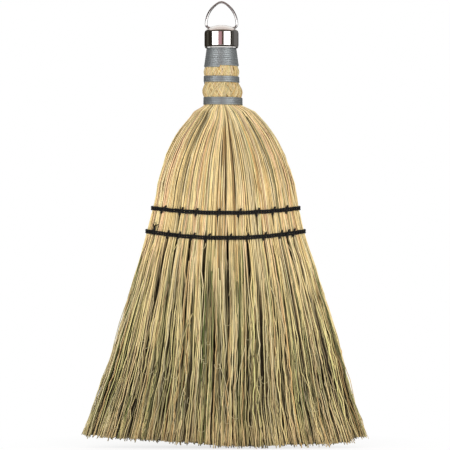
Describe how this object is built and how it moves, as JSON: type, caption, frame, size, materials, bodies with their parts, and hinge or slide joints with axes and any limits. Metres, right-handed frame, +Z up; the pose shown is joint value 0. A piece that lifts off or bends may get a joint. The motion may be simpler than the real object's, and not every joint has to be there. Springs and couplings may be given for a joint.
{
  "type": "whisk broom",
  "caption": "Hand whisk broom of sewn broomcorn, wire-bound handle with a bright steel cap and a swinging wire hanger.",
  "frame": {"origin": "on the floor under the middle of the brush, at the trimmed tips", "axes": "+Z up the handle to the hanger, +X to the right seen from the front, -Y towards the front"},
  "size_m": [0.1942, 0.0332, 0.305],
  "materials": {
    "broomcorn": "dry natural straw, pale yellow with tan and green streaks",
    "stalk_straw": "dry natural stalks, pale yellow",
    "galvanised_wire": "dull grey zinc",
    "cap_chrome": "bright nickel plate",
    "ring_steel": "bright plated wire",
    "black_twine": "waxed black twine"
  },
  "bodies": {
    "broom": {"cap": "cap_chrome", "handle_stalks": "stalk_straw", "upper_wire_wrap": "galvanised_wire", "middle_wire_band": "galvanised_wire", "lower_wire_band": "galvanised_wire", "inside_corn": "broomcorn", "left_side_corn": "broomcorn", "right_side_corn": "broomcorn", "front_hurl": "broomcorn", "back_hurl": "broomcorn", "upper_twine_band": "black_twine", "lower_twine_band": "black_twine", "upper_stitches": "black_twine", "lower_stitches": "black_twine"},
    "hanger": {"hanger_ring": "ring_steel"}
  },
  "joints": [
    {"name": "hanger_swing", "type": "hinge", "parent": "broom", "child": "hanger", "pos_m": [-0.0024, 0, 0.2865], "axis": [1, 0, 0], "range_deg": [-90, 90]}
  ]
}
